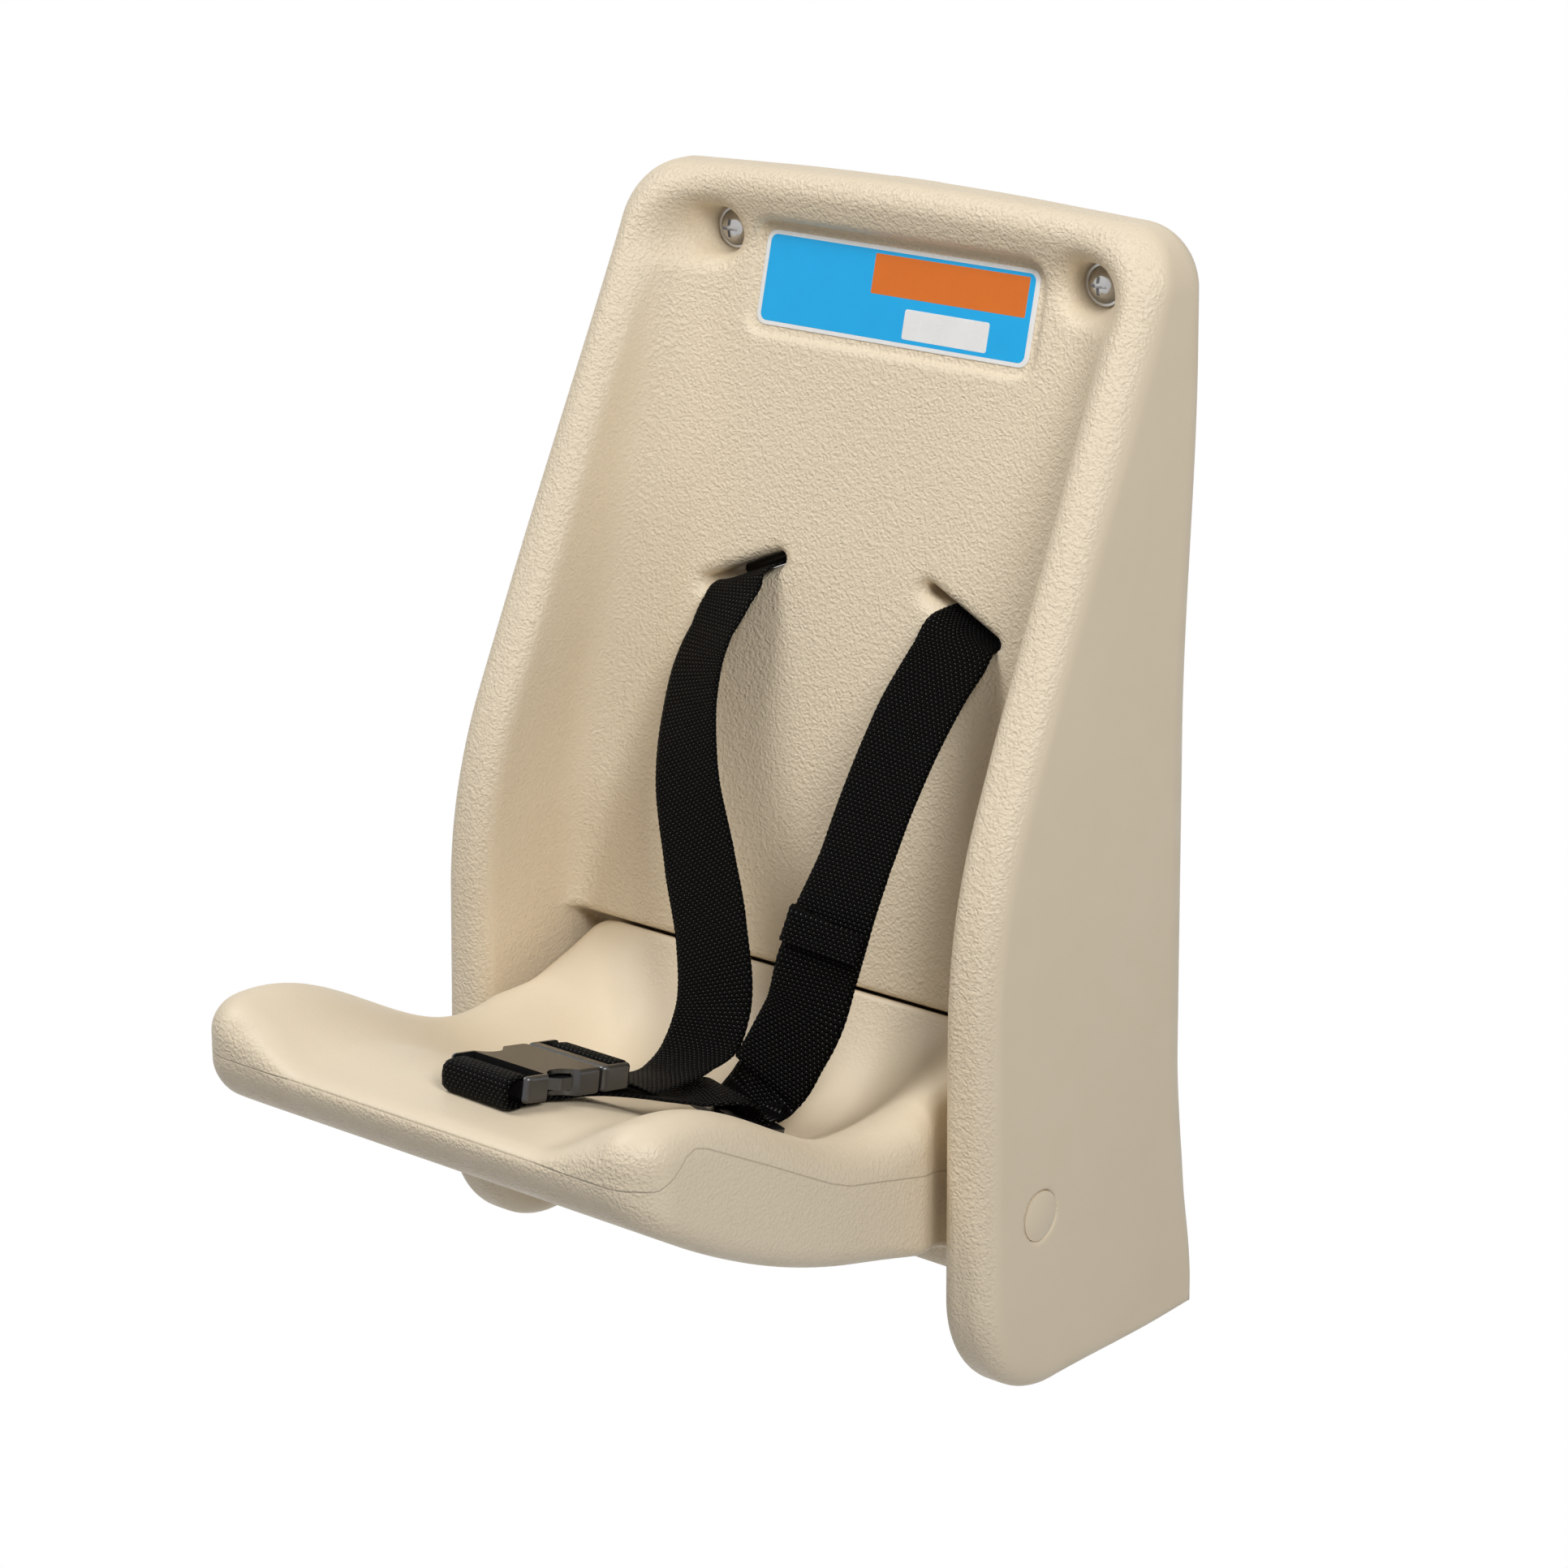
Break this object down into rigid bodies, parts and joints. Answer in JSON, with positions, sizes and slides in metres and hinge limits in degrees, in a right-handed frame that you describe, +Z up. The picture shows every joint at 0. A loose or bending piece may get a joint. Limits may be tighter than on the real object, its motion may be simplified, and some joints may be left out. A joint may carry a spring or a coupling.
{
  "type": "wall-mounted child seat",
  "caption": "Wall-mounted moulded child seat with a folding seat pan between two cheeks, shoulder straps, a side-release buckle and a blank label plate.",
  "frame": {"origin": "on the wall plane, midway between the two upper wall screws", "axes": "+Y into the wall along the screws, -Y out towards the sitter, +Z up, +X to the right seen from the front"},
  "size_m": [0.3118, 0.372, 0.4877],
  "materials": {
    "shell": "fine leather grain, satin",
    "label": "smooth printed film",
    "screw_steel": "bright plated",
    "washer_steel": "zinc plated",
    "bush_plastic": "smooth nylon",
    "buckle_plastic": "satin",
    "webbing": "woven polypropylene"
  },
  "bodies": {
    "back": {"back_shell": "shell", "label_plate": "label", "upper_wall_screws": "screw_steel", "upper_wall_washers": "washer_steel", "lower_wall_screws": "screw_steel", "lower_wall_washers": "washer_steel", "pivot_rod": "washer_steel", "rod_retainers": "washer_steel", "cheek_bush_left": "bush_plastic", "cheek_bush_right": "bush_plastic", "pivot_cap_left": "shell", "pivot_cap_right": "shell", "strap_anchor_left": "washer_steel", "strap_anchor_right": "washer_steel", "shoulder_strap_left": "webbing", "shoulder_strap_right": "webbing", "strap_tail": "webbing"},
    "seat": {"seat_shell": "shell", "seat_bush_left": "bush_plastic", "seat_bush_right": "bush_plastic", "pivot_spacers": "bush_plastic", "lap_strap": "webbing", "tri_glide": "buckle_plastic", "buckle_socket": "buckle_plastic", "buckle_plug": "buckle_plastic"},
    "latch_left": {"latch_arm_left": "buckle_plastic"},
    "latch_right": {"latch_arm_right": "buckle_plastic"}
  },
  "joints": [
    {"name": "seat_fold", "type": "hinge", "parent": "back", "child": "seat", "pos_m": [0, -0.1178, -0.3724], "axis": [-1, 0, 0], "range_deg": [0, 70], "deforming": ["shoulder_strap_left", "shoulder_strap_right", "strap_tail"]},
    {"name": "latch_left_press", "type": "hinge", "parent": "seat", "child": "latch_left", "pos_m": [0.00344, -0.25814, -0.29613], "axis": [-0.0162, 0.1919, 0.9813], "range_deg": [0, 8], "stiffness_Nm_per_rad": 0.05},
    {"name": "latch_right_press", "type": "hinge", "parent": "seat", "child": "latch_right", "pos_m": [0.02841, -0.25932, -0.29548], "axis": [0.0162, -0.1919, -0.9813], "range_deg": [0, 8], "stiffness_Nm_per_rad": 0.05}
  ]
}
